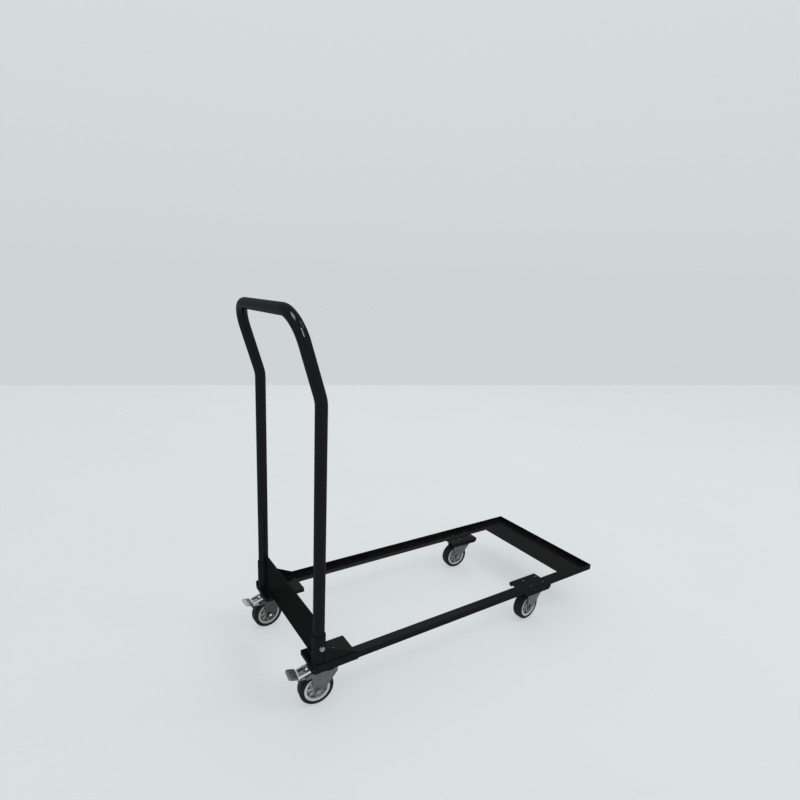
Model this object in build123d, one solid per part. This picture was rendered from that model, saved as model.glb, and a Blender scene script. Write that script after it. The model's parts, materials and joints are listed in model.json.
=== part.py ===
from build123d import *
import math
import os

# A folding chair trolley: a low steel frame on four swivel casters with a bent tube push handle.
# Millimetres. +X points forward, away from the handle. +Y is the left of the person who pushes.
# +Z is up from the floor. The origin is on the floor, under the middle of the trolley.

# Base frame
base_length = 1140.0
base_width = 480.0
rail_flange = 45.0
rail_lip = 20.0
rail_wall = 3.0
tray_depth = 130.0
edge_round = 0.8
weld_gap = 0.1

# Rear corner plates
corner_length = 135.0
corner_width = 97.0
corner_thickness = 12.0

# Front caster channels
channel_length = 126.0
channel_lead = 48.0
channel_width = 80.0
channel_web = 6.0
channel_wall = 4.0
channel_skirt = 12.0
channel_chamfer = 8.0

# Push handle and its sockets
tube_diameter = 32.0
tube_wall = 2.0
leg_inset = 20.0
handle_height = 1094.5
handle_lean = 66.0
knee_height = 867.0
knee_radius = 90.0
corner_radius = 76.0
socket_wall = 3.0
socket_height = 96.0
socket_clearance = 0.1
handle_bolt_height = 65.0
handle_bolt_grip = 14.0

# Rear end plate and gussets
end_plate_thickness = 4.0
end_plate_lift = 6.0
end_plate_height = 124.0
end_plate_round = 6.0
gusset_thickness = 4.0
gusset_height = 64.0
gusset_setback = 3.0
gusset_round = 5.0

# Caster places
caster_side_inset = 41.0
rear_axis_inset = 54.0
front_axis_inset = 264.0
rest_swivel = 5.0

# Wheels
wheel_diameter = 100.0
tyre_width = 32.0
tyre_round = 7.0
rim_diameter = 76.0
rim_width = 29.0
rim_band = 8.0
hub_width = 38.0
hub_diameter = 27.0
hub_flare = 6.0
web_thickness = 9.0
rib_count = 8
rib_thickness = 3.0
rib_width = 20.0

# Axles
axle_diameter = 8.0
sleeve_diameter = 12.0
running_clearance = 0.05
hub_side_gap = 1.0

# Forks
caster_trail = 32.0
fork_wall = 3.0
fork_bend = 4.0
crown_clearance = 8.0
crown_diameter = 60.0
fork_front = 25.0
fork_back = 24.0
fork_shoulder = 13.0
fork_heel = 50.0
heel_drop = 9.0
axle_boss_diameter = 30.0

# Swivel heads
top_plate_thickness = 3.0
top_plate_length = 80.0
top_plate_width = 60.0
top_plate_corner = 8.0
race_height = 8.0
race_diameter = 52.0
race_wall = 2.5
king_pin_diameter = 10.0
king_head_diameter = 22.0
king_head_height = 4.0
swivel_gap = 0.3
ball_diameter = 6.0
ball_ring_diameter = 38.0
ball_count = 12
pattern_length = 60.0
pattern_width = 38.0
bolt_tip = 3.0

# Foot brakes on the rear casters
pin_reach = 62.0
pin_height = 102.0
pin_diameter = 6.0
pin_head_diameter = 8.5
pin_head_height = 1.5
lug_diameter = 14.0
pedal_travel = 12.0
pedal_wall = 3.0
pedal_inner = 52.0
pedal_outer = 87.0
pedal_skirt = 6.5
pedal_side_gap = 0.5
roof_height = 113.0
roof_slope = 15.0
slot_length = 18.0
slot_width = 7.0
slot_reach = 73.5
slot_offset = 6.5
stud_diameter = 8.0
stud_height = 1.2
stud_reach = 59.5
stud_offset = -2.6
pad_rise = 14.0
pad_start = 1.0
pad_length = 27.2
pad_width = 41.0
pad_thickness = 6.5
pad_cover = 1.3
pad_corner = 7.0
shoe_inner = 68.0
shoe_outer = 82.0
shoe_gap = 0.4
spring_thickness = 1.0
spring_width = 32.0
spring_start = 15.0
spring_gap = 3.0
spring_drop = 3.5

# Fasteners
bolt_diameter = 8.0
bolt_across_flats = 13.0
bolt_head_height = 5.3
nut_height = 6.5
washer_diameter = 16.0
washer_thickness = 1.6
bolt_clearance = 0.1

# Heights worked out from the floor up
tube_radius = tube_diameter / 2
wheel_radius = wheel_diameter / 2
axle_z = wheel_radius
crown_bottom = wheel_diameter + crown_clearance
crown_top = crown_bottom + fork_wall
plate_bottom = crown_top + race_height
mount_z = plate_bottom + top_plate_thickness
rail_bottom = mount_z + channel_web
deck_z = rail_bottom + rail_wall
rail_top = rail_bottom + rail_lip
corner_top = mount_z + corner_thickness
bar_z = handle_height - tube_radius

# Places worked out along and across the trolley
handle_overhang = handle_lean + tube_radius - leg_inset
rear_x = -(base_length - handle_overhang) / 2
front_x = rear_x + base_length
half_width = base_width / 2
lip_inner = half_width - rail_wall
socket_radius = tube_radius + socket_clearance + socket_wall
leg_x = rear_x + leg_inset
leg_y = lip_inner - socket_radius - weld_gap
bar_x = leg_x - handle_lean
rear_axis_x = rear_x + rear_axis_inset
front_axis_x = front_x - front_axis_inset
caster_y = half_width - caster_side_inset
corner_front_x = rear_x + corner_length
tray_rear_x = front_x - tray_depth
cheek_inner = hub_width / 2 + hub_side_gap
cheek_outer = cheek_inner + fork_wall
pedal_half = cheek_inner - pedal_side_gap
tongue_half = pedal_half - pedal_wall
tongue_end = pad_start + pad_length - pedal_wall
bolt_radius = bolt_diameter / 2
bolt_hole_radius = bolt_radius + bolt_clearance
washer_bottom = plate_bottom - washer_thickness

SIDES = {"left": 1, "right": -1}
CASTERS = {
    "rear_left": (rear_axis_x, caster_y),
    "rear_right": (rear_axis_x, -caster_y),
    "front_left": (front_axis_x, caster_y),
    "front_right": (front_axis_x, -caster_y),
}
PATTERN = [
    (sx * pattern_length / 2, sy * pattern_width / 2) for sx in (-1, 1) for sy in (-1, 1)
]


def block(x0, x1, y0, y1, z0, z1):
    """A box between two corners, given in any order across Y."""
    low, high = sorted((y0, y1))
    box = Box(x1 - x0, high - low, z1 - z0)
    return Pos((x0 + x1) / 2, (low + high) / 2, (z0 + z1) / 2) * box


def upright(radius, z0, z1):
    """A cylinder that stands on Z."""
    return Pos(0, 0, (z0 + z1) / 2) * Cylinder(radius, z1 - z0)


def crosswise(radius, y0, y1):
    """A cylinder that lies along Y."""
    rod = Rot(90, 0, 0) * Cylinder(radius, abs(y1 - y0))
    return Pos(0, (y0 + y1) / 2, 0) * rod


def side_shape(face_on_xz, y0, y1):
    """A face drawn in X and Z, made solid from y0 to y1."""
    drawn = Plane((0, y1, 0), x_dir=(1, 0, 0), z_dir=(0, -1, 0)) * face_on_xz
    return extrude(drawn, y1 - y0)


def hexagon(across_flats, height):
    """A hexagon prism from z = 0 up, with its top corners turned off."""
    corner = across_flats / math.sqrt(3)
    prism = extrude(RegularPolygon(corner, 6), height)
    turned = Pos(0, 0, height / 2) * Cylinder(corner, height)
    turned = chamfer(turned.edges().sort_by(Axis.Z)[-1], (corner - across_flats / 2) * 0.9)
    return prism & turned


def ring(outer_radius, inner_radius, height):
    """A flat ring from z = 0 up."""
    return extrude(Circle(outer_radius) - Circle(inner_radius), height)


def hex_bolt(length):
    """A bolt whose head is below z = 0 and whose shank points up."""
    head = Rot(180, 0, 0) * hexagon(bolt_across_flats, bolt_head_height)
    return head + extrude(Circle(bolt_radius), length)


def export(shape, node):
    export_step(shape, f"parts/{node}.step")


def group(shapes):
    """Separate solids that share one node."""
    return Compound(children=list(shapes))


def side_rail(side):
    """An angle bar with its lip up at the outside, cut away for the corner plate."""
    lip = block(rear_x, front_x, side * lip_inner, side * half_width, rail_bottom, rail_top)
    inner_y = half_width - rail_flange
    flange = block(corner_front_x, tray_rear_x, side * inner_y, side * half_width, rail_bottom, deck_z)
    rail = lip + flange
    long_edges = rail.edges().filter_by(Axis.X)
    top_edges = long_edges.group_by(Axis.Z)[-1]
    rail = fillet(top_edges, edge_round)
    for bolt_x, bolt_y in PATTERN:
        hole = upright(bolt_hole_radius, rail_bottom - 1, deck_z + 1)
        rail -= Pos(front_axis_x + bolt_x, side * caster_y + bolt_y, 0) * hole
    return rail


def front_end_tray():
    """A folded sheet level with the rails, with a lip in front that stops the load."""
    plate = block(tray_rear_x, front_x, -lip_inner, lip_inner, rail_bottom, deck_z)
    lip = block(front_x - rail_wall, front_x, -lip_inner, lip_inner, rail_bottom, rail_top)
    tray = plate + lip
    top_edges = tray.edges().filter_by(Axis.Y).group_by(Axis.Z)[-1]
    return fillet(top_edges, edge_round)


def corner_plate(side):
    """A thick plate in the rear corner, tapped for the caster's bolts."""
    inner_y = lip_inner - corner_width
    plate = block(rear_x, corner_front_x, side * inner_y, side * lip_inner, mount_z, corner_top)
    uprights = plate.edges().filter_by(Axis.Z)
    inner_edges = [edge for edge in uprights if abs(edge.center().Y) < lip_inner - 1]
    plate = fillet(inner_edges, edge_round * 4)
    for bolt_x, bolt_y in PATTERN:
        hole = upright(bolt_hole_radius, mount_z - 1, corner_top + 1)
        plate -= Pos(rear_axis_x + bolt_x, side * caster_y + bolt_y, 0) * hole
    return plate


def caster_channel(side):
    """A short channel under the rail whose skirts hide the front caster's head."""
    half = channel_width / 2
    front = front_axis_x + channel_lead
    back = front - channel_length
    skirt_bottom = mount_z - channel_skirt
    outer = block(back, front, -half, half, skirt_bottom, rail_bottom)
    low_ends = outer.edges().filter_by(Axis.Y).group_by(Axis.Z)[0]
    outer = chamfer(low_ends, channel_chamfer)
    inside = half - channel_wall
    channel = outer - block(back - 1, front + 1, -inside, inside, skirt_bottom - 1, mount_z)
    for bolt_x, bolt_y in PATTERN:
        hole = upright(bolt_hole_radius, mount_z - 1, rail_bottom + 1)
        channel -= Pos(front_axis_x + bolt_x, bolt_y, 0) * hole
    return Pos(0, side * caster_y, 0) * channel


def handle_socket(side):
    """A short sleeve on the corner plate that takes the handle's leg."""
    sleeve = upright(socket_radius, corner_top, corner_top + socket_height)
    top_edge = sleeve.edges().group_by(Axis.Z)[-1]
    sleeve = fillet(top_edge, edge_round)
    sleeve -= upright(tube_radius + socket_clearance, corner_top - 1, corner_top + socket_height + 1)
    hole = crosswise(bolt_hole_radius, 0, side * (socket_radius + 1))
    sleeve -= Pos(0, 0, corner_top + handle_bolt_height) * hole
    return Pos(leg_x, side * leg_y, 0) * sleeve


def handle_path():
    """The handle's centre line, from one foot over the bar to the other foot."""
    points = [
        (leg_x, -leg_y, corner_top),
        (leg_x, -leg_y, knee_height),
        (bar_x, -leg_y, bar_z),
        (bar_x, leg_y, bar_z),
        (leg_x, leg_y, knee_height),
        (leg_x, leg_y, corner_top),
    ]
    return FilletPolyline(*points, radius=[knee_radius, corner_radius, corner_radius, knee_radius])


def push_handle():
    """One bent tube, drilled for the bolt in each socket."""
    path = handle_path()
    foot = Plane(path @ 0, z_dir=path % 0)
    outside = sweep(foot * Circle(tube_radius), path=path)
    bore = sweep(foot * Circle(tube_radius - tube_wall), path=path)
    tube = outside - bore
    for side in SIDES.values():
        hole = crosswise(bolt_hole_radius, 0, side * (tube_radius + 1))
        tube -= Pos(leg_x, side * leg_y, corner_top + handle_bolt_height) * hole
    return tube


def rear_end_plate():
    """The upright plate between the two sockets."""
    low = corner_top + end_plate_lift
    half = end_plate_thickness / 2
    end = leg_y - socket_radius
    plate = block(leg_x - half, leg_x + half, -end, end, low, low + end_plate_height)
    corners = plate.edges().filter_by(Axis.X)
    return fillet(corners, end_plate_round)


def gusset(side):
    """The stiffener on the corner plate, from the socket down to the rail's lip."""
    start = leg_x + socket_radius * 0.45
    end = corner_front_x - gusset_setback
    outline = Polygon(
        (start, corner_top),
        (end, corner_top),
        (end, rail_top),
        (start, corner_top + gusset_height),
        align=None,
    )
    y0, y1 = sorted((side * (lip_inner - gusset_thickness), side * lip_inner))
    plate = side_shape(outline, y0, y1)
    tip = plate.edges().filter_by(Axis.Y).sort_by(Axis.X)[-2:].sort_by(Axis.Z)[-1]
    plate = fillet(tip, gusset_round)
    room = upright(socket_radius + weld_gap, corner_top - 1, corner_top + gusset_height + 1)
    return plate - Pos(leg_x, side * leg_y, 0) * room


def top_plate():
    """The caster's fixing plate with its ball race and dust skirt."""
    outline = RectangleRounded(top_plate_length, top_plate_width, top_plate_corner)
    plate = Pos(0, 0, plate_bottom) * extrude(outline, top_plate_thickness)
    race_radius = race_diameter / 2
    race_seat = crown_top + swivel_gap + ball_diameter
    skirt_low = crown_top + 2 * swivel_gap
    plate += upright(race_radius, skirt_low, plate_bottom)
    plate -= upright(race_radius - race_wall, skirt_low - 1, race_seat)
    plate -= upright(king_pin_diameter / 2 + running_clearance, skirt_low - 1, mount_z + 1)
    for bolt_x, bolt_y in PATTERN:
        plate -= Pos(bolt_x, bolt_y, 0) * upright(bolt_hole_radius, plate_bottom - 1, mount_z + 1)
    return plate


def king_pin():
    """The rivet that the fork swivels on."""
    head_top = crown_bottom - swivel_gap
    shank = upright(king_pin_diameter / 2, head_top, mount_z)
    head = upright(king_head_diameter / 2, head_top - king_head_height, head_top)
    head = chamfer(head.edges().group_by(Axis.Z)[0], king_head_height / 3)
    return shank + head


def ball_ring():
    """The balls between the top plate's race and the fork's crown."""
    height = crown_top + swivel_gap + ball_diameter / 2
    radius = ball_ring_diameter / 2
    balls = []
    for index in range(ball_count):
        turn = math.radians(index * 360 / ball_count)
        place = Pos(radius * math.cos(turn), radius * math.sin(turn), height)
        balls.append(place * Sphere(ball_diameter / 2))
    return balls


def fork(braked):
    """The pressed fork: a crown, two cheeks down to the axle and, with a brake, two lugs."""
    reach = caster_trail + pin_reach
    drop = axle_z - axle_boss_diameter
    channel = block(-reach, crown_diameter, -cheek_outer, cheek_outer, drop, crown_top)
    bends = channel.edges().filter_by(Axis.X).group_by(Axis.Z)[-1]
    channel = fillet(bends, fork_bend)
    channel -= block(-reach - 1, crown_diameter + 1, -cheek_inner, cheek_inner, drop - 1, crown_bottom)
    boss = Pos(-caster_trail, axle_z) * Circle(axle_boss_diameter / 2)
    shoulder_z = crown_top - fork_shoulder / 2
    shoulder_x = (fork_front - fork_back) / 2
    shoulder = Pos(shoulder_x, shoulder_z) * Rectangle(fork_front + fork_back, fork_shoulder)
    heel = Pos(fork_wall - fork_heel, crown_top - heel_drop) * Circle(fork_wall)
    outline = make_hull(boss.edges() + shoulder.edges() + heel.edges())
    if braked:
        lug = Pos(-pin_reach, pin_height) * Circle(lug_diameter / 2)
        root = Pos(-fork_back, shoulder_z) * Rectangle(fork_shoulder, fork_shoulder)
        outline += make_hull(lug.edges() + root.edges())
    cheeks = channel & side_shape(outline, -cheek_outer - 1, cheek_outer + 1)
    if braked:
        cheeks -= block(-reach, -fork_back, -cheek_inner, cheek_inner, drop, crown_top + 1)
    crown = upright(crown_diameter / 2, crown_bottom, crown_top)
    body = cheeks + crown
    body -= upright(king_pin_diameter / 2 + running_clearance, drop, crown_top + 1)
    axle_hole = crosswise(axle_diameter / 2 + bolt_clearance, -cheek_outer - 1, cheek_outer + 1)
    body -= Pos(-caster_trail, 0, axle_z) * axle_hole
    if braked:
        pin_hole = crosswise(pin_diameter / 2 + bolt_clearance, -cheek_outer - 1, cheek_outer + 1)
        body -= Pos(-pin_reach, 0, pin_height) * pin_hole
    return body


def on_axle(shape):
    """Lay a shape drawn along Z on the axle, with its top towards the right."""
    return Pos(-caster_trail, 0, axle_z) * (Rot(90, 0, 0) * shape)


def axle_bolt():
    """The bolt through the fork and the wheel."""
    length = 2 * cheek_outer + nut_height + bolt_tip
    head = Pos(0, 0, cheek_outer) * hexagon(bolt_across_flats, bolt_head_height)
    shank = Pos(0, 0, cheek_outer - length) * extrude(Circle(axle_diameter / 2), length)
    return on_axle(head + shank)


def axle_nut():
    """The nut on the axle's left end."""
    nut = Rot(180, 0, 0) * hexagon(bolt_across_flats, nut_height)
    nut = Pos(0, 0, -cheek_outer) * nut
    bore = axle_diameter / 2 + running_clearance
    nut -= Pos(0, 0, -cheek_outer) * Cylinder(bore, 4 * nut_height)
    return on_axle(nut)


def axle_sleeve():
    """The steel sleeve, clamped between the cheeks, that the wheel turns on."""
    length = 2 * cheek_inner
    tube = ring(sleeve_diameter / 2, axle_diameter / 2 + bolt_clearance, length)
    return on_axle(Pos(0, 0, -cheek_inner) * tube)


def wheel_rim():
    """The plastic wheel centre: a hub, a dished web with ribs and an outer band."""
    bore = sleeve_diameter / 2 + running_clearance
    hub = hub_diameter / 2
    outer = rim_diameter / 2
    inner = outer - rim_band
    half_hub = hub_width / 2
    half_web = web_thickness / 2
    half_rim = rim_width / 2
    points = [
        (bore, -half_hub),
        (hub - edge_round * 2, -half_hub),
        (hub, -half_hub + edge_round * 2),
        (hub, -half_web * 1.6),
        (hub + hub_flare, -half_web),
        (inner, -half_web),
        (inner + edge_round, -half_rim),
        (outer, -half_rim),
    ]
    profile = points + [(radius, -across) for radius, across in reversed(points)]
    face = Plane.XZ * Polygon(*profile, align=None)
    rim = revolve(face, Axis.Z)
    rib_length = inner - hub
    for index in range(rib_count):
        rib = Box(rib_length + rim_band, rib_thickness, rib_width)
        rim += Rot(0, 0, index * 360 / rib_count) * (Pos(hub + rib_length / 2, 0, 0) * rib)
    rim -= Cylinder(bore, hub_width + 2)
    return on_axle(rim)


def tyre():
    """The rubber tyre round the rim."""
    inner = rim_diameter / 2 + weld_gap / 2
    depth = wheel_radius - inner
    section = Pos(inner + depth / 2, 0) * Rectangle(depth, tyre_width)
    tread = section.vertices().group_by(Axis.X)[-1]
    section = fillet(tread, tyre_round)
    return on_axle(revolve(Plane.XZ * section, Axis.Z))


def brake_pin():
    """The pin that the pedal turns on, held in the fork's lugs."""
    length = cheek_outer + pin_head_height
    shank = crosswise(pin_diameter / 2, -length, length)
    head = crosswise(pin_head_diameter / 2, cheek_outer, length)
    rivet = crosswise(pin_head_diameter / 2, -length, -cheek_outer)
    return Pos(-pin_reach, 0, pin_height) * (head + shank + rivet)


def roof_z(x):
    """The height of the pedal's sloping roof."""
    return roof_height + (x + pin_reach) * math.tan(math.radians(roof_slope))


def roof_underside(x):
    """The height of the roof's lower face."""
    return roof_z(x) - pedal_wall / math.cos(math.radians(roof_slope))


def on_roof(x, y, depth):
    """A place on the pedal's roof, sunk by a depth, with its Z out of the roof."""
    turn = math.radians(roof_slope)
    along = Vector(math.cos(turn), 0, math.sin(turn))
    out = Vector(-math.sin(turn), 0, math.cos(turn))
    return Plane(Vector(x, y, roof_z(x)) - out * depth, x_dir=along, z_dir=out)


def at_foot(shape):
    """Lay a shape drawn along X on the line of the foot pad, which rises outwards."""
    turn = math.radians(pad_rise)
    out = Vector(-math.cos(turn), 0, math.sin(turn))
    up = Vector(math.sin(turn), 0, math.cos(turn))
    root = Vector(-pedal_outer, 0, roof_z(-pedal_outer) - pedal_wall / 2)
    return Plane(root, x_dir=out, z_dir=up) * shape


def brake_pedal():
    """The pressed foot lever: a slotted roof, two ears on the pin and a tongue for the pad."""
    ear = Pos(-pin_reach, pin_height) * Circle(lug_diameter / 2)
    roof = Polygon(
        (-pedal_inner, roof_z(-pedal_inner)),
        (-pedal_outer, roof_z(-pedal_outer)),
        (-pedal_outer, roof_z(-pedal_outer) - pedal_skirt),
        (-pedal_inner, roof_z(-pedal_inner) - pedal_skirt),
        align=None,
    )
    outline = make_hull(ear.edges() + roof.edges())
    lever = side_shape(outline, -pedal_half, pedal_half)
    middle_x = -(pedal_inner + pedal_outer) / 2
    top_middle = Vector(middle_x, 0, roof_z(middle_x))
    long_edges = lever.edges().filter_by(lambda edge: abs(edge.center().Y) > tongue_half)
    lever = fillet(long_edges.sort_by_distance(top_middle)[:2], pedal_wall)
    low = pin_height - lug_diameter
    inside = Polygon(
        (1 - pedal_inner, roof_underside(1 - pedal_inner)),
        (-1 - pedal_outer, roof_underside(-1 - pedal_outer)),
        (-1 - pedal_outer, low),
        (1 - pedal_inner, low),
        align=None,
    )
    lever -= side_shape(inside, -tongue_half, tongue_half)
    slot = extrude(RectangleRounded(slot_length, slot_width, slot_width * 0.45), 3 * pedal_wall)
    lever -= on_roof(-slot_reach, slot_offset, 2 * pedal_wall) * slot
    stud = extrude(Circle(stud_diameter / 2), stud_height + pedal_wall / 2)
    lever += on_roof(-stud_reach, stud_offset, pedal_wall / 2) * stud
    half_wall = pedal_wall / 2
    lever += at_foot(block(-pedal_wall, tongue_end, -tongue_half, tongue_half, -half_wall, half_wall))
    pin_hole = crosswise(pin_diameter / 2 + running_clearance, -pedal_half - 1, pedal_half + 1)
    return lever - Pos(-pin_reach, 0, pin_height) * pin_hole


def pedal_pad():
    """The plastic foot pad pushed over the pedal's tongue."""
    half = pad_width / 2
    high = pedal_wall / 2 + pad_cover
    pad = block(pad_start, pad_start + pad_length, -half, half, high - pad_thickness, high)
    pad = fillet(pad.edges().filter_by(Axis.Z).group_by(Axis.X)[-1], pad_corner)
    pad = fillet(pad.edges().group_by(Axis.Z)[-1], pad_cover)
    pad = fillet(pad.edges().group_by(Axis.Z)[0], pad_cover)
    room = tongue_half + weld_gap
    high = pedal_wall / 2 + weld_gap
    pad -= block(pad_start - 1, tongue_end + weld_gap, -room, room, -high, high)
    return at_foot(pad)


def brake_shoe():
    """The rubber block under the pedal, hollowed to the tyre as it stands with the brake on."""
    half = tongue_half - weld_gap
    side_view = Polygon(
        (-shoe_inner, roof_underside(-shoe_inner)),
        (-shoe_outer, roof_underside(-shoe_outer)),
        (-shoe_outer, axle_z),
        (-shoe_inner, axle_z),
        align=None,
    )
    shoe = side_shape(side_view, -half, half)
    from_pin = Vector(pin_reach - caster_trail, 0, axle_z - pin_height)
    seen_from_pedal = from_pin.rotate(Axis.Y, pedal_travel)
    tread = crosswise(wheel_radius + shoe_gap, -pedal_half, pedal_half)
    place = Pos(-pin_reach + seen_from_pedal.X, 0, pin_height + seen_from_pedal.Z)
    shoe -= place * tread
    return shoe.solids().sort_by(Axis.Z)[-1]


def brake_spring():
    """The leaf under the crown that holds the pedal up or down."""
    spring_end = pin_reach - lug_diameter / 2 - spring_gap
    drawn = Polyline(
        (-spring_start, crown_bottom - spring_thickness / 2),
        (-(spring_start + spring_end) / 2, crown_bottom - spring_thickness / 2),
        (-spring_end, crown_bottom - spring_thickness / 2 - spring_drop),
    )
    strip = trace(drawn, spring_thickness)
    return side_shape(strip, -spring_width / 2, spring_width / 2)


def fixing_bolt(tip_z):
    """A caster bolt from under the top plate up to tip_z."""
    return Pos(0, 0, washer_bottom) * hex_bolt(tip_z - washer_bottom)


def at_pattern(shape, names):
    """One copy of a shape at every bolt of the named casters."""
    copies = []
    for name in names:
        axis_x, axis_y = CASTERS[name]
        for bolt_x, bolt_y in PATTERN:
            copies.append(Pos(axis_x + bolt_x, axis_y + bolt_y, 0) * shape)
    return copies


def handle_bolt(side):
    """The bolt that keeps a handle leg in its socket, with its washer."""
    bolt = Pos(0, 0, -washer_thickness) * hex_bolt(handle_bolt_grip + washer_thickness)
    washer = ring(washer_diameter / 2, bolt_hole_radius, washer_thickness)
    washer = Pos(0, 0, -washer_thickness) * washer
    place = Pos(leg_x, side * (leg_y + socket_radius), corner_top + handle_bolt_height)
    inward = Rot(side * 90, 0, 0)
    return place * (inward * bolt), place * (inward * washer)


os.makedirs("parts", exist_ok=True)

# Frame and handle
for side_name, side_sign in SIDES.items():
    export(side_rail(side_sign), f"{side_name}_side_rail")
    export(corner_plate(side_sign), f"rear_{side_name}_corner_plate")
    export(caster_channel(side_sign), f"front_{side_name}_caster_channel")
    export(handle_socket(side_sign), f"{side_name}_handle_socket")
    export(gusset(side_sign), f"{side_name}_gusset")
export(front_end_tray(), "front_end_tray")
export(rear_end_plate(), "rear_end_plate")
export(push_handle(), "push_handle")
handle_fixings = [handle_bolt(side_sign) for side_sign in SIDES.values()]
export(group(bolt for bolt, washer in handle_fixings), "handle_bolts")
export(group(washer for bolt, washer in handle_fixings), "handle_washers")

# Caster fixings, which stay with the frame
REAR = [name for name in CASTERS if name.startswith("rear")]
FRONT = [name for name in CASTERS if name.startswith("front")]
export(group(at_pattern(fixing_bolt(corner_top + bolt_tip), REAR)), "rear_caster_bolts")
export(group(at_pattern(fixing_bolt(deck_z), FRONT)), "front_caster_bolts")
flat_washer = Pos(0, 0, washer_bottom) * ring(washer_diameter / 2, bolt_hole_radius, washer_thickness)
export(group(at_pattern(flat_washer, CASTERS)), "caster_washers")
pin_places = [Pos(axis_x, axis_y, 0) for axis_x, axis_y in CASTERS.values()]
export(group(place * king_pin() for place in pin_places), "king_pins")
export(group(place * ball for place in pin_places for ball in ball_ring()), "swivel_balls")

# Casters, each pair turned a little, the left one against the right one
for caster_name, (axis_x, axis_y) in CASTERS.items():
    fixed = Pos(axis_x, axis_y, 0)
    has_brake = caster_name in REAR
    turn = math.copysign(rest_swivel, axis_y)
    turned = fixed * Rot(0, 0, turn if has_brake else -turn)
    export(fixed * top_plate(), f"{caster_name}_top_plate")
    export(turned * fork(has_brake), f"{caster_name}_fork")
    export(turned * axle_bolt(), f"{caster_name}_axle_bolt")
    export(turned * axle_nut(), f"{caster_name}_axle_nut")
    export(turned * axle_sleeve(), f"{caster_name}_axle_sleeve")
    export(turned * wheel_rim(), f"{caster_name}_wheel_rim")
    export(turned * tyre(), f"{caster_name}_tyre")
    if has_brake:
        export(turned * brake_pin(), f"{caster_name}_brake_pin")
        export(turned * brake_spring(), f"{caster_name}_brake_spring")
        export(turned * brake_pedal(), f"{caster_name}_brake_pedal")
        export(turned * pedal_pad(), f"{caster_name}_pedal_pad")
        export(turned * brake_shoe(), f"{caster_name}_brake_shoe")
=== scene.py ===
import json
import math
import bpy
from mathutils import Matrix, Vector


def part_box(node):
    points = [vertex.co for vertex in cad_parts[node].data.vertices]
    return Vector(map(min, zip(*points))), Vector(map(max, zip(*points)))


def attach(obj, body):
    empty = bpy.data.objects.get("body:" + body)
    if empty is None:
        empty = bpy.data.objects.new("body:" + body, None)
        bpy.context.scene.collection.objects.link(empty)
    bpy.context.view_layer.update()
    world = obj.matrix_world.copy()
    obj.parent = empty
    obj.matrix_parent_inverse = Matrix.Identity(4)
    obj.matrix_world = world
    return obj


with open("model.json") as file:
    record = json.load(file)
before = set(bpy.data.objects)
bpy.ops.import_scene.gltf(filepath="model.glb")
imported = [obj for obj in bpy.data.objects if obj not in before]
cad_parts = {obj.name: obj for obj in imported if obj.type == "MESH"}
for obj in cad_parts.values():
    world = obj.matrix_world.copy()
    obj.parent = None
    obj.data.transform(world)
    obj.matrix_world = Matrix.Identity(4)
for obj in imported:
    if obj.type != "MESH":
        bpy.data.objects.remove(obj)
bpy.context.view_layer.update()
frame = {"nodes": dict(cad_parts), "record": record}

nodes = frame["nodes"]
scene = bpy.context.scene

FRAME_BODY = "trolley_frame"
SIDES = {"left": 1, "right": -1}
CASTERS = ("rear_left", "rear_right", "front_left", "front_right")
UP = Vector((0, 0, 1))


def middle_of(node):
    """The centre of a CAD node's box at rest."""
    low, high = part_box(node)
    return (Vector(low) + Vector(high)) / 2


# Material nodes

def new_material(name):
    """An empty node material with its output and one main shader."""
    material = bpy.data.materials.new(name)
    material.use_nodes = True
    tree = material.node_tree
    tree.nodes.clear()
    output = tree.nodes.new("ShaderNodeOutputMaterial")
    shader = tree.nodes.new("ShaderNodeBsdfPrincipled")
    tree.links.new(shader.outputs["BSDF"], output.inputs["Surface"])
    return material, tree, shader


def noise(tree, scale, detail, rough=0.5, stretch=(1, 1, 1)):
    """A noise pattern in the part's own metres."""
    place = tree.nodes.new("ShaderNodeTexCoord")
    mapping = tree.nodes.new("ShaderNodeMapping")
    mapping.inputs["Scale"].default_value = stretch
    pattern = tree.nodes.new("ShaderNodeTexNoise")
    pattern.inputs["Scale"].default_value = scale
    pattern.inputs["Detail"].default_value = detail
    pattern.inputs["Roughness"].default_value = rough
    tree.links.new(place.outputs["Object"], mapping.inputs["Vector"])
    tree.links.new(mapping.outputs["Vector"], pattern.inputs["Vector"])
    return pattern.outputs["Fac"]


def colour(value):
    """A colour with its alpha, from a grey level or from three numbers."""
    return (*value, 1) if hasattr(value, "__len__") else (value, value, value, 1)


def ramp(tree, value, low, high, start=0.3, end=0.7):
    """Spread a pattern between two colours or two grey levels."""
    node = tree.nodes.new("ShaderNodeValToRGB")
    first, last = node.color_ramp.elements
    first.position, last.position = start, end
    first.color, last.color = colour(low), colour(high)
    tree.links.new(value, node.inputs["Fac"])
    return node.outputs["Color"]


def arithmetic(tree, operation, value, number=0.0):
    """One step of sums with a fixed number."""
    node = tree.nodes.new("ShaderNodeMath")
    node.operation = operation
    tree.links.new(value, node.inputs[0])
    node.inputs[1].default_value = number
    return node.outputs["Value"]


def zones(tree, distance, span, levels):
    """Grey levels at given distances in metres, within a span."""
    node = tree.nodes.new("ShaderNodeValToRGB")
    elements = node.color_ramp.elements
    for place, level in levels[2:]:
        elements.new(place / span)
    for element, (place, level) in zip(elements, levels):
        element.position = place / span
        element.color = colour(level)
    share = arithmetic(tree, "MULTIPLY", distance, 1 / span)
    tree.links.new(share, node.inputs["Fac"])
    return node.outputs["Color"]


def combine(tree, kind, first, second):
    """Two colours multiplied or added."""
    node = tree.nodes.new("ShaderNodeMix")
    node.data_type = "RGBA"
    node.blend_type = kind
    node.inputs["Factor"].default_value = 1.0
    tree.links.new(first, node.inputs["A"])
    tree.links.new(second, node.inputs["B"])
    return node.outputs["Result"]


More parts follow.
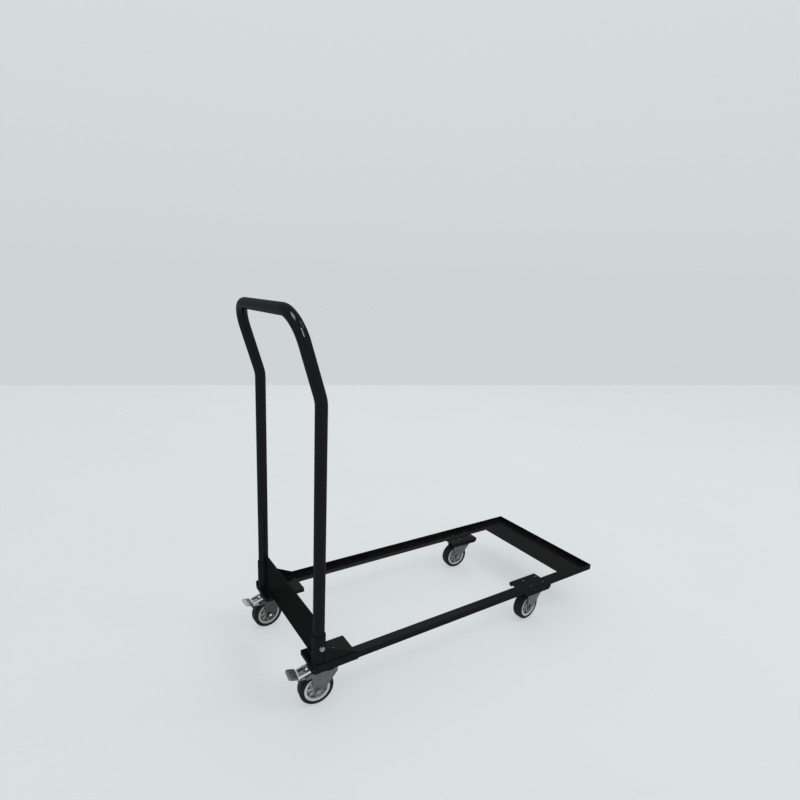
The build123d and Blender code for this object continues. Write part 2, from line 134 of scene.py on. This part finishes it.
def blend(tree, mask, first, second):
    """One colour where a mask is 0 and another where it is 1."""
    node = tree.nodes.new("ShaderNodeMix")
    node.data_type = "RGBA"
    tree.links.new(mask, node.inputs["Factor"])
    tree.links.new(first, node.inputs["A"])
    tree.links.new(second, node.inputs["B"])
    return node.outputs["Result"]


def bump(tree, shader, value, strength, distance, edge):
    """Raise a pattern, and round the sharp edges in the shading."""
    node = tree.nodes.new("ShaderNodeBump")
    node.inputs["Strength"].default_value = strength
    node.inputs["Distance"].default_value = distance
    tree.links.new(value, node.inputs["Height"])
    soft = tree.nodes.new("ShaderNodeBevel")
    soft.samples = 4
    soft.inputs["Radius"].default_value = edge
    tree.links.new(soft.outputs["Normal"], node.inputs["Normal"])
    tree.links.new(node.outputs["Normal"], shader.inputs["Normal"])


def edge_highlight_and_wear(tree, reach, amount):
    """Paler broken patches along sharp edges, where a rounded normal leaves the flat one: a
    painted highlight, broken like rubbed wear.
    """
    rounded = tree.nodes.new("ShaderNodeBevel")
    rounded.samples = 4
    rounded.inputs["Radius"].default_value = reach
    flat = tree.nodes.new("ShaderNodeNewGeometry")
    along = tree.nodes.new("ShaderNodeVectorMath")
    along.operation = "DOT_PRODUCT"
    tree.links.new(rounded.outputs["Normal"], along.inputs[0])
    tree.links.new(flat.outputs["Normal"], along.inputs[1])
    edge = ramp(tree, along.outputs["Value"], amount, 0.0, start=0.80, end=0.99)
    patches = noise(tree, scale=90, detail=6, rough=0.7)
    return combine(tree, "MULTIPLY", edge, ramp(tree, patches, 0.25, 1.0, start=0.35, end=0.65))


def measure(tree, start, heading):
    """How far a point of the surface lies from a start along a heading, in metres."""
    place = tree.nodes.new("ShaderNodeTexCoord")
    away = tree.nodes.new("ShaderNodeVectorMath")
    away.operation = "SUBTRACT"
    away.inputs[1].default_value = start
    along = tree.nodes.new("ShaderNodeVectorMath")
    along.operation = "DOT_PRODUCT"
    along.inputs[1].default_value = heading
    tree.links.new(place.outputs["Object"], away.inputs[0])
    tree.links.new(away.outputs["Vector"], along.inputs[0])
    return along.outputs["Value"]


def distance_to(tree, first, second, place):
    """How far two measured lengths lie from a place in their plane, in metres."""
    flat = tree.nodes.new("ShaderNodeCombineXYZ")
    tree.links.new(first, flat.inputs["X"])
    tree.links.new(second, flat.inputs["Y"])
    away = tree.nodes.new("ShaderNodeVectorMath")
    away.operation = "DISTANCE"
    away.inputs[1].default_value = (*place, 0)
    tree.links.new(flat.outputs["Vector"], away.inputs[0])
    return away.outputs["Value"]


# Finishes of the whole part

def black_paint(name, dark, light, gloss, dust_gloss_and_tip_highlight, shine):
    """Black powder coat: orange peel, a gloss that dust dulls in patches, and paler broken edges
    that are a painted highlight and wear.
    """
    material, tree, shader = new_material(name)
    wear = noise(tree, scale=14, detail=6, rough=0.6)
    # Paler broken edges: a painted highlight and wear
    painted_edge_highlight = edge_highlight_and_wear(tree, reach=0.0014, amount=0.045)
    base = combine(tree, "ADD", ramp(tree, wear, dark, light), painted_edge_highlight)
    tree.links.new(base, shader.inputs["Base Color"])
    tree.links.new(ramp(tree, wear, gloss, dust_gloss_and_tip_highlight), shader.inputs["Coat Weight"])
    tree.links.new(ramp(tree, wear, 0.36, 0.54), shader.inputs["Roughness"])
    shader.inputs["Specular IOR Level"].default_value = 0.0
    shader.inputs["Coat IOR"].default_value = 1.8
    shader.inputs["Coat Roughness"].default_value = shine
    orange_peel = noise(tree, scale=520, detail=2)
    bump(tree, shader, orange_peel, strength=0.10, distance=0.0004, edge=0.0007)
    tree.links.new(shader.inputs["Normal"].links[0].from_socket, shader.inputs["Coat Normal"])
    return material


def zinc_clouds(tree):
    """The soft clouds that shade zinc plate."""
    return noise(tree, scale=45, detail=4, rough=0.6)


def zinc_tone(tree, cloud, dark, light):
    """Grey with a fine grain and soft clouds."""
    grain = noise(tree, scale=160, detail=8, rough=0.65, stretch=(1, 1, 2.5))
    return combine(tree, "MULTIPLY", ramp(tree, grain, dark, light), ramp(tree, cloud, 0.66, 1.0))


def finish_metal(tree, shader, base, roughness):
    """Make a shader plated metal with fine bumps."""
    tree.links.new(base, shader.inputs["Base Color"])
    tree.links.new(roughness, shader.inputs["Roughness"])
    shader.inputs["Metallic"].default_value = 1.0
    grit = noise(tree, scale=900, detail=3)
    bump(tree, shader, grit, strength=0.12, distance=0.0002, edge=0.0005)


def finish_plastic(tree, shader, base, roughness):
    """Make a shader moulded plastic with fine bumps."""
    tree.links.new(base, shader.inputs["Base Color"])
    tree.links.new(roughness, shader.inputs["Roughness"])
    grit = noise(tree, scale=700, detail=2)
    bump(tree, shader, grit, strength=0.15, distance=0.0002, edge=0.0006)


def zinc(name, dark, light, smooth, dull):
    """Zinc plate with a fine grain."""
    material, tree, shader = new_material(name)
    cloud = zinc_clouds(tree)
    base = zinc_tone(tree, cloud, dark, light)
    finish_metal(tree, shader, base, ramp(tree, cloud, smooth, dull))
    return material


def rubber(name, dark, light):
    """Black rubber with a dusty bloom."""
    material, tree, shader = new_material(name)
    dust = noise(tree, scale=60, detail=7, rough=0.7)
    base = ramp(tree, dust, dark, light, start=0.35, end=0.8)
    tree.links.new(base, shader.inputs["Base Color"])
    tree.links.new(ramp(tree, dust, 0.55, 0.75), shader.inputs["Roughness"])
    shader.inputs["Specular IOR Level"].default_value = 0.18
    grit = noise(tree, scale=850, detail=3)
    bump(tree, shader, grit, strength=0.2, distance=0.0003, edge=0.0008)
    return material


# Finishes of the casters, painted by the distance from their axes, painted highlights and painted
# shade among them

# Distances in metres, each with its level there
# Painted highlights along the pedal's bends and at its outer end
PEDAL_BEND_HIGHLIGHTS = ((0.0148, 0), (0.0160, 1), (0.0191, 1), (0.01936, 0))
PEDAL_END_HIGHLIGHT = ((0.0835, 0), (0.0850, 0.7), (0.0868, 0.7), (0.0872, 0))
PEDAL_STUD = (0.0595, -0.0026)
# Painted shade in a ring round the pedal's stud
STUD_SHADE = ((0.00405, 0), (0.00415, 1), (0.0078, 1), (0.0092, 0))
STUD_HEAD = ((0.0040, 1), (0.0041, 0))
# A painted highlight at the middle of the far axle bolt
AXLE_GLINT_LEVELS = ((0.0036, 0.98), (0.0044, 0.07), (0.0080, 0.09))
# Painted shade in the wheel's recesses, darker near its mid-plane
RIM_RECESS_SHADE = ((0.0046, 0.40), (0.0072, 0.50), (0.0092, 1.0), (0.0144, 1.0))
TIP_FADE = 0.004

# The spans that these distances are shares of, in metres
SIDE_SPAN = 0.020
PEDAL_SPAN = 0.100
PAD_SPAN = 0.120
RIM_SPAN = 0.040
SPOT_SPAN = 0.010


def caster_axes(caster):
    """A caster's swivel axis, its way out over the wheel and its way across, at rest."""
    axis = middle_of(f"{caster}_top_plate")
    out = middle_of(f"{caster}_wheel_rim") - axis
    out = Vector((out.x, out.y, 0)).normalized()
    return axis, out, Vector((out.y, -out.x, 0))


def pedal_zinc(caster, dark, light):
    """Grey zinc with painted highlights along its bends and at its outer end, and painted shade
    round the stud, whose head stays bright.
    """
    material, tree, shader = new_material(f"{caster}_pedal_zinc")
    axis, out, across = caster_axes(caster)
    reach = measure(tree, axis, out)
    offset = measure(tree, axis, across)
    cloud = zinc_clouds(tree)
    base = zinc_tone(tree, cloud, dark, light)
    bright = ramp(tree, cloud, (0.86, 0.87, 0.88), (0.98, 0.985, 0.99))
    side = arithmetic(tree, "ABSOLUTE", offset)
    # Painted highlights along the bends and at the outer end
    base = blend(tree, zones(tree, side, SIDE_SPAN, PEDAL_BEND_HIGHLIGHTS), base, bright)
    base = blend(tree, zones(tree, reach, PEDAL_SPAN, PEDAL_END_HIGHLIGHT), base, bright)
    # Painted shade round the stud; its head stays bright
    from_stud = distance_to(tree, reach, offset, PEDAL_STUD)
    stud_shade = ramp(tree, cloud, 0.030, 0.060)
    base = blend(tree, zones(tree, from_stud, SPOT_SPAN, STUD_SHADE), base, stud_shade)
    base = blend(tree, zones(tree, from_stud, SPOT_SPAN, STUD_HEAD), base, bright)
    finish_metal(tree, shader, base, ramp(tree, cloud, 0.18, 0.30))
    return material


def painted_axle_glint_end(caster):
    """An axle bolt with a painted highlight in its middle, and darker round its edge."""
    material, tree, shader = new_material(f"{caster}_axle_zinc")
    axis, out, across = caster_axes(caster)
    hub = middle_of(f"{caster}_wheel_rim")
    from_axle = distance_to(tree, measure(tree, hub, out), measure(tree, hub, UP), (0, 0))
    cloud = zinc_clouds(tree)
    # A painted highlight in the middle, darker round it
    axle_glint = zones(tree, from_axle, SPOT_SPAN, AXLE_GLINT_LEVELS)
    base = combine(tree, "MULTIPLY", axle_glint, ramp(tree, cloud, 0.92, 1.0))
    finish_metal(tree, shader, base, ramp(tree, cloud, 0.08, 0.16))
    return material


def pad_plastic(caster, tip, tip_start):
    """Dark mottled plastic with painted highlights: paler towards the tip and along the edges."""
    material, tree, shader = new_material(f"{caster}_pad_plastic")
    axis, out, across = caster_axes(caster)
    cloud = noise(tree, scale=38, detail=5, rough=0.6)
    mottle = noise(tree, scale=260, detail=4, rough=0.6)
    base = ramp(tree, mottle, (0.044, 0.0446, 0.046), (0.145, 0.146, 0.149), start=0.34, end=0.66)
    scuffs = ramp(tree, noise(tree, scale=200, detail=4, rough=0.6), 0.85, 1.0)
    pale = ramp(tree, cloud, tip, [1.15 * level for level in tip])
    dust_gloss_and_tip_highlight = combine(tree, "MULTIPLY", pale, scuffs)
    # Paler towards the tip: a painted highlight
    tip_levels = ((tip_start, 0), (tip_start + TIP_FADE, 1))
    mask = zones(tree, measure(tree, axis, out), PAD_SPAN, tip_levels)
    base = blend(tree, mask, base, dust_gloss_and_tip_highlight)
    # Paler edges: a painted highlight
    base = combine(tree, "ADD", base, edge_highlight_and_wear(tree, reach=0.0022, amount=0.16))
    finish_plastic(tree, shader, base, ramp(tree, cloud, 0.20, 0.34))
    return material


def rim_plastic(caster, band, web):
    """Grey moulded wheel centre: a paler outer band, a groove darkened with painted shade, and
    painted shade in the recesses that leaves the ribs paler.
    """
    material, tree, shader = new_material(f"{caster}_wheel_plastic")
    axis, out, across = caster_axes(caster)
    hub = middle_of(f"{caster}_wheel_rim")
    place = tree.nodes.new("ShaderNodeTexCoord")
    reach = tree.nodes.new("ShaderNodeVectorMath")
    reach.operation = "DISTANCE"
    reach.inputs[1].default_value = hub
    tree.links.new(place.outputs["Object"], reach.inputs[0])
    levels = (
        (0.0160, web),
        (0.0284, web),
        # The groove's dark level is painted shade
        (0.0312, 0.30 * web),
        (0.0340, 0.94 * band),
        (0.0400, band),
    )
    base = zones(tree, reach.outputs["Value"], RIM_SPAN, levels)
    # Painted shade near the mid-plane, where the web lies recessed, leaving the ribs paler
    depth = arithmetic(tree, "ABSOLUTE", measure(tree, hub, across))
    base = combine(tree, "MULTIPLY", base, zones(tree, depth, SIDE_SPAN, RIM_RECESS_SHADE))
    cloud = noise(tree, scale=70, detail=6, rough=0.65)
    shade = ramp(tree, cloud, (0.75, 0.75, 0.74), (1.0, 1.0, 0.99))
    base = combine(tree, "MULTIPLY", base, shade)
    finish_plastic(tree, shader, base, ramp(tree, cloud, 0.30, 0.46))
    return material


# Each node's finish: by its slot, or its own where the photograph shows a difference

frame_black = black_paint(
    "black_powder_coat", (0.0042, 0.0042, 0.0045), (0.0080, 0.0080, 0.0084),
    gloss=0.100, dust_gloss_and_tip_highlight=0.070, shine=0.2,
)
tube_black = black_paint(
    "handle_powder_coat", (0.0040, 0.0040, 0.0043), (0.0070, 0.0070, 0.0074),
    gloss=0.125, dust_gloss_and_tip_highlight=0.100, shine=0.09,
)
weld_black = black_paint(
    "painted_weld", (0.0042, 0.0042, 0.0045), (0.0084, 0.0084, 0.0088),
    gloss=0.090, dust_gloss_and_tip_highlight=0.060, shine=0.26,
)
# The end plate's copy of the frame coat, darker and less glossy: painted shade
shaded_plate_black = black_paint(
    "shaded_plate_powder_coat", (0.0036, 0.0036, 0.0038), (0.0066, 0.0066, 0.0069),
    gloss=0.036, dust_gloss_and_tip_highlight=0.020, shine=0.26,
)
fork_zinc = zinc("fork_zinc", (0.145, 0.146, 0.150), (0.23, 0.231, 0.236), 0.34, 0.48)
# Darker zinc for washers and bolts, and as painted shade on the far rear fork
dark_zinc_and_shade = zinc("dark_zinc_and_shade", (0.075, 0.0755, 0.0775), (0.125, 0.1255, 0.128), 0.36, 0.50)
bright_zinc = zinc("bright_zinc", (0.50, 0.51, 0.52), (0.70, 0.71, 0.72), 0.14, 0.24)
axle_zinc = zinc("axle_zinc", (0.24, 0.243, 0.25), (0.42, 0.425, 0.435), 0.18, 0.30)
finishes = {
    "black_paint": frame_black,
    "zinc_steel": bright_zinc,
    "spring_steel": zinc("spring_steel", (0.20, 0.20, 0.21), (0.32, 0.32, 0.33), 0.30, 0.44),
    "tyre_rubber": rubber("tyre_rubber", 0.0055, 0.013),
    "brake_rubber": rubber("brake_rubber", 0.010, 0.020),
}

# Lighter and darker copies of one wheel plastic per caster: painted light and shade, darker on the
# far rear wheel, with the near rear web lightened
RIM_BAND = {"rear_left": 0.44, "rear_right": 0.68, "front_left": 0.58, "front_right": 0.64}
RIM_WEB = {"rear_left": 0.60, "rear_right": 0.80, "front_left": 0.55, "front_right": 0.55}
special = {"push_handle": tube_black, "rear_end_plate": shaded_plate_black, "handle_bolts": axle_zinc}
for node in ("handle_washers", "caster_washers", "rear_caster_bolts", "front_caster_bolts"):
    special[node] = dark_zinc_and_shade
for caster in CASTERS:
    special[f"{caster}_fork"] = fork_zinc
    special[f"{caster}_top_plate"] = fork_zinc
    special[f"{caster}_axle_bolt"] = axle_zinc
    special[f"{caster}_axle_nut"] = axle_zinc
    special[f"{caster}_wheel_rim"] = rim_plastic(caster, RIM_BAND[caster], RIM_WEB[caster])
# The far rear fork takes the darker zinc as painted shade
special["rear_left_fork"] = dark_zinc_and_shade
special["rear_left_axle_bolt"] = painted_axle_glint_end("rear_left")
# Lighter and darker copies per caster: painted light, lighter on the far rear pedal, with a paler
# painted highlight on its pad tip
for caster, dark, light, tip, tip_start in (
    ("rear_left", (0.32, 0.323, 0.33), (0.48, 0.484, 0.49), (0.52, 0.523, 0.528), 0.0995),
    ("rear_right", (0.19, 0.192, 0.198), (0.31, 0.313, 0.32), (0.18, 0.185, 0.189), 0.1045),
):
    special[f"{caster}_brake_pedal"] = pedal_zinc(caster, dark, light)
    special[f"{caster}_pedal_pad"] = pad_plastic(caster, tip, tip_start)
    special[f"{caster}_brake_pin"] = special[f"{caster}_fork"]
for entry in frame["record"]["subparts"]:
    node = entry["node"]
    mesh = nodes[node].data
    mesh.materials.clear()
    mesh.materials.append(special[node] if node in special else finishes[entry["material_slot"]])


# Weld beads and bolt threads, which ride on the frame

def solid_mesh(name, points, faces, material, body):
    """A smooth-shaded piece that rides on a body."""
    mesh = bpy.data.meshes.new(name)
    mesh.from_pydata(points, [], faces)
    mesh.shade_smooth()
    mesh.materials.append(material)
    piece = bpy.data.objects.new(name, mesh)
    scene.collection.objects.link(piece)
    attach(piece, body)


def tube_faces(faces, first, rows, sides):
    """The sides and the two caps of a tube of point rings."""
    for row in range(rows):
        low = first + row * sides
        high = low + sides
        for turn in range(sides):
            after = (turn + 1) % sides
            faces.append((low + turn, low + after, high + after, high + turn))
    last = first + rows * sides
    faces.append(tuple(first + turn for turn in reversed(range(sides))))
    faces.append(tuple(last + turn for turn in range(sides)))


BEAD_SIDES = 10
BEAD_STEP = 0.0007
RIPPLE_PITCH = 0.0026
RIPPLE_DEPTH = 0.14
SMALLEST_END = 0.05


def lay_bead(points, faces, path, radius):
    """One rippled weld bead with round ends along a path of points."""
    path = [Vector(point) for point in path]
    lengths = [0.0]
    for here, there in zip(path, path[1:]):
        lengths.append(lengths[-1] + (there - here).length)
    total = lengths[-1]
    count = max(8, int(total / BEAD_STEP))
    first = len(points)
    leg = 0
    for step in range(count + 1):
        along = total * step / count
        while leg < len(path) - 2 and along > lengths[leg + 1]:
            leg += 1
        heading = (path[leg + 1] - path[leg]).normalized()
        centre = path[leg] + heading * (along - lengths[leg])
        side = heading.cross(UP)
        side = (side if side.length > 0.01 else heading.cross(Vector((1, 0, 0)))).normalized()
        up = side.cross(heading)
        ripple = abs(math.sin(math.pi * along / RIPPLE_PITCH))
        wander = 0.06 * math.sin(along * 210.0) + 0.04 * math.sin(along * 530.0 + 1.3)
        end = min(along, total - along) / radius
        taper = math.sqrt(max(0.0, 1 - (1 - min(1.0, end)) ** 2))
        swell = 1 - RIPPLE_DEPTH + RIPPLE_DEPTH * ripple + wander
        size = radius * swell * max(taper, SMALLEST_END)
        for turn in range(BEAD_SIDES):
            angle = 2 * math.pi * turn / BEAD_SIDES
            points.append(centre + side * size * math.cos(angle) + up * size * math.sin(angle))
    tube_faces(faces, first, count, BEAD_SIDES)


def beads(name, paths, radius):
    """Several weld beads as one painted piece."""
    points, faces = [], []
    for path in paths:
        lay_bead(points, faces, path, radius)
    solid_mesh(name, points, faces, weld_black, FRAME_BODY)


REAR_BEAD = 0.0021
RAIL_BEAD = 0.0017
WELD_PROUD = 0.0004
SEAM_PROUD = 0.0008
RING_START, RING_SWEEP, RING_STEPS = -205, 230, 36
SHEET = 0.003
END_GAP = 0.004

for side_name, sign in SIDES.items():
    # Round the socket's foot, up both faces of the end plate, and along the gusset
    socket_low, socket_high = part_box(f"{side_name}_handle_socket")
    socket_middle = middle_of(f"{side_name}_handle_socket")
    socket_radius = (socket_high[0] - socket_low[0]) / 2
    base_z = socket_low[2]
    around = []
    for step in range(RING_STEPS + 1):
        angle = math.radians(RING_START + RING_SWEEP * step / RING_STEPS)
        around.append((
            socket_middle.x + (socket_radius + WELD_PROUD) * math.cos(angle),
            socket_middle.y + sign * (socket_radius + WELD_PROUD) * math.sin(angle),
            base_z + WELD_PROUD,
        ))
    plate_low, plate_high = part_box("rear_end_plate")
    inner_y = socket_middle.y - sign * (socket_radius - WELD_PROUD)
    seams = [around]
    for plate_x, out in ((plate_low[0], -1), (plate_high[0], 1)):
        seams.append([
            (plate_x + out * SEAM_PROUD, inner_y, plate_low[2] + 0.007),
            (plate_x + out * SEAM_PROUD, inner_y, socket_high[2] - 0.003),
        ])
    gusset_low, gusset_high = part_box(f"{side_name}_gusset")
    gusset_face = gusset_low[1] if sign > 0 else gusset_high[1]
    seams.append([
        (gusset_low[0] + 0.012, gusset_face, base_z),
        (gusset_high[0] - END_GAP, gusset_face, base_z),
    ])
    beads(f"{side_name}_rear_welds", seams, REAR_BEAD)

    # The rail's joints with the corner plate, the tray and the caster channel
    rail_low, rail_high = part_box(f"{side_name}_side_rail")
    corner_low, corner_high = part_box(f"rear_{side_name}_corner_plate")
    tray_low, tray_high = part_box("front_end_tray")
    channel_low, channel_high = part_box(f"front_{side_name}_caster_channel")
    flange_y = rail_low[1] if sign > 0 else rail_high[1]
    lip_y = corner_high[1] if sign > 0 else corner_low[1]
    deck_z = tray_low[2] + SHEET
    seams = [
        [
            (corner_high[0], flange_y + sign * END_GAP, deck_z),
            (corner_high[0], lip_y - sign * END_GAP, deck_z),
        ],
        [(tray_low[0] + END_GAP, lip_y, deck_z), (tray_high[0] - 0.008, lip_y, deck_z)],
        [
            (channel_low[0] + 0.006, flange_y, rail_low[2]),
            (channel_high[0] - 0.006, flange_y, rail_low[2]),
        ],
    ]
    beads(f"{side_name}_rail_welds", seams, RAIL_BEAD)

THREAD_PITCH = 0.00125
THREAD_SIDES = 24
THREAD_ROWS = 8
THREAD_DEPTH = 0.00028
THREAD_GAP = 0.00002
TIP_CHAMFER = 0.0003
BOLT_RADIUS = 0.004
BOLT_PATTERN = [(x, y) for x in (-0.030, 0.030) for y in (-0.019, 0.019)]


def lay_thread(points, faces, foot, length):
    """One screw thread round an upright bolt tip, run out at its top."""
    rows = int(length / THREAD_PITCH * THREAD_ROWS)
    first = len(points)
    for row in range(rows + 1):
        height = length * row / rows
        left = min(1.0, (length - height) / THREAD_PITCH)
        for turn in range(THREAD_SIDES):
            angle = 2 * math.pi * turn / THREAD_SIDES
            phase = (height / THREAD_PITCH - turn / THREAD_SIDES) % 1.0
            crest = THREAD_DEPTH * left * (1 - abs(2 * phase - 1))
            size = BOLT_RADIUS + THREAD_GAP + crest
            spoke = Vector((size * math.cos(angle), size * math.sin(angle), height))
            points.append(Vector(foot) + spoke)
    tube_faces(faces, first, rows, THREAD_SIDES)


def threads(name, bolts, surface, casters):
    """The threads of all the bolt tips that stand above a surface."""
    foot_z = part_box(surface)[1][2] + THREAD_GAP
    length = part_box(bolts)[1][2] - foot_z - TIP_CHAMFER
    points, faces = [], []
    for caster in casters:
        centre = middle_of(f"{caster}_top_plate")
        for off_x, off_y in BOLT_PATTERN:
            inner = abs(centre.y + off_y) < abs(centre.y)
            if inner or caster.startswith("rear"):
                foot = (centre.x + off_x, centre.y + off_y, foot_z)
                lay_thread(points, faces, foot, length)
    solid_mesh(name, points, faces, dark_zinc_and_shade, FRAME_BODY)


threads("rear_bolt_threads", "rear_caster_bolts", "rear_left_corner_plate", CASTERS[:2])
threads("front_bolt_threads", "front_caster_bolts", "front_left_caster_channel", CASTERS[2:])


# The room: a plain pale floor that ends where the photograph's wall begins

def seen_rays(tree):
    """One for the rays that see the room: from the camera, or through gloss and glass."""
    path = tree.nodes.new("ShaderNodeLightPath")
    total = path.outputs["Is Camera Ray"]
    for kind in ("Is Glossy Ray", "Is Transmission Ray"):
        added = tree.nodes.new("ShaderNodeMath")
        added.operation = "ADD"
        added.use_clamp = True
        tree.links.new(total, added.inputs[0])
        tree.links.new(path.outputs[kind], added.inputs[1])
        total = added.outputs["Value"]
    return total


def floor_material(name, low, high, plain, share):
    """A plain, softly clouded floor that shows part of its shadow and part of its plain colour."""
    material, tree, shader = new_material(name)
    clouds = noise(tree, scale=1.4, detail=4)
    tree.links.new(ramp(tree, clouds, low, high), shader.inputs["Base Color"])
    shader.inputs["Roughness"].default_value = 0.6
    shader.inputs["Specular IOR Level"].default_value = 0.2
    glow = tree.nodes.new("ShaderNodeEmission")
    glow.inputs["Color"].default_value = colour(plain)
    part = arithmetic(tree, "MULTIPLY", seen_rays(tree), share)
    mix = tree.nodes.new("ShaderNodeMixShader")
    tree.links.new(part, mix.inputs["Fac"])
    tree.links.new(shader.outputs["BSDF"], mix.inputs[1])
    tree.links.new(glow.outputs["Emission"], mix.inputs[2])
    output = next(node for node in tree.nodes if node.type == "OUTPUT_MATERIAL")
    tree.links.new(mix.outputs["Shader"], output.inputs["Surface"])
    return material


def flat_piece(name, corners, material):
    """A four-cornered sheet of the room."""
    mesh = bpy.data.meshes.new(name)
    mesh.from_pydata(corners, [], [(0, 1, 2, 3)])
    piece = bpy.data.objects.new(name, mesh)
    mesh.materials.append(material)
    scene.collection.objects.link(piece)


FLOOR_DEPTH = 40
FLOOR_MORE_LEFT = 12
FLOOR_MORE_RIGHT = 6

floor_finish = floor_material(
    "pale_floor", (0.709, 0.743, 0.762), (0.733, 0.767, 0.786),
    plain=(0.70, 0.735, 0.757), share=0.60,
)
far_left = Vector((-4.508, 6.229, 0))
far_right = Vector((16.426, -1.226, 0))
wall_line = (far_right - far_left).normalized()
towards = Vector((wall_line.y, -wall_line.x, 0)) * FLOOR_DEPTH
far_left -= wall_line * FLOOR_MORE_LEFT
far_right += wall_line * FLOOR_MORE_RIGHT
flat_piece("floor", [far_left, far_left + towards, far_right + towards, far_right], floor_finish)


def pale_room():
    """A pale wall for the rays that see it, and an even light for the rest."""
    world = bpy.data.worlds.new("pale_room")
    scene.world = world
    world.use_nodes = True
    tree = world.node_tree
    tree.nodes.clear()
    world_out = tree.nodes.new("ShaderNodeOutputWorld")
    seen = tree.nodes.new("ShaderNodeBackground")
    heading = tree.nodes.new("ShaderNodeTexCoord")
    split = tree.nodes.new("ShaderNodeSeparateXYZ")
    tree.links.new(heading.outputs["Generated"], split.inputs["Vector"])
    low_wall, high_wall = (0.622, 0.658, 0.678), (0.690, 0.720, 0.742)
    wall = ramp(tree, split.outputs["Z"], low_wall, high_wall, start=0.0, end=0.5)
    tree.links.new(wall, seen.inputs["Color"])
    seen.inputs["Strength"].default_value = 1.0
    lit = tree.nodes.new("ShaderNodeBackground")
    lit.inputs["Color"].default_value = (0.97, 0.985, 1.0, 1)
    lit.inputs["Strength"].default_value = 0.86
    mix = tree.nodes.new("ShaderNodeMixShader")
    tree.links.new(seen_rays(tree), mix.inputs["Fac"])
    tree.links.new(lit.outputs["Background"], mix.inputs[1])
    tree.links.new(seen.outputs["Background"], mix.inputs[2])
    tree.links.new(mix.outputs["Shader"], world_out.inputs["Surface"])


def area_light(name, place, target, width, height, power, tint):
    """A soft lamp, upright, that looks at a point."""
    data = bpy.data.lights.new(name, "AREA")
    data.shape = "RECTANGLE"
    data.size = width
    data.size_y = height
    data.energy = power
    data.color = tint
    lamp = bpy.data.objects.new(name, data)
    lamp.location = place
    aim = Vector(target) - Vector(place)
    lamp.rotation_euler = aim.to_track_quat("-Z", "Y").to_euler()
    scene.collection.objects.link(lamp)
    return lamp


pale_room()
area_light("key", (3.2, -2.5, 5.6), (0, 0, 0.3), 2.0, 2.0, 80, (1.0, 0.985, 0.96))
area_light("fill", (-3.4, -0.6, 2.4), (-0.3, 0, 0.5), 2.6, 2.6, 5, (0.95, 0.98, 1.0))
area_light("back", (1.8, 3.2, 3.0), (0, 0, 0.4), 2.4, 2.4, 12, (1.0, 1.0, 1.0))

# A ceiling panel and a window that only the glossy handle shows
handle_bend = (-0.57, -0.19, 1.05)
glossy = bpy.data.collections.new("handle_gloss")
glossy.objects.link(nodes["push_handle"])
for name, place, width, height, power in (
    ("ceiling_panel", (-1.37, -0.63, 3.05), 0.9, 1.2, 75),
    ("window", (-0.42, -2.9, 2.25), 1.0, 1.4, 100),
):
    lamp = area_light(name, place, handle_bend, width, height, power, (1.0, 1.0, 1.0))
    lamp.visible_diffuse = False
    lamp.light_linking.receiver_collection = glossy

# The camera, as solved from the photograph
camera_data = bpy.data.cameras.new("camera")
camera = bpy.data.objects.new("camera", camera_data)
scene.collection.objects.link(camera)
right = Vector((0.848508, -0.527616, 0.040690))
down = Vector((-0.095568, -0.228410, -0.968863))
ahead = right.cross(down).normalized()
down = ahead.cross(right).normalized()
turn = Matrix((right.normalized(), -down, -ahead)).transposed().to_4x4()
camera.matrix_world = Matrix.Translation((-1.0451, -1.32468, 1.1409)) @ turn
camera_data.sensor_width = 36.0
camera_data.lens = 23.5716
camera_data.shift_x = 0.0200
camera_data.shift_y = 0.0219
scene.camera = camera

scene.view_settings.view_transform = "Standard"
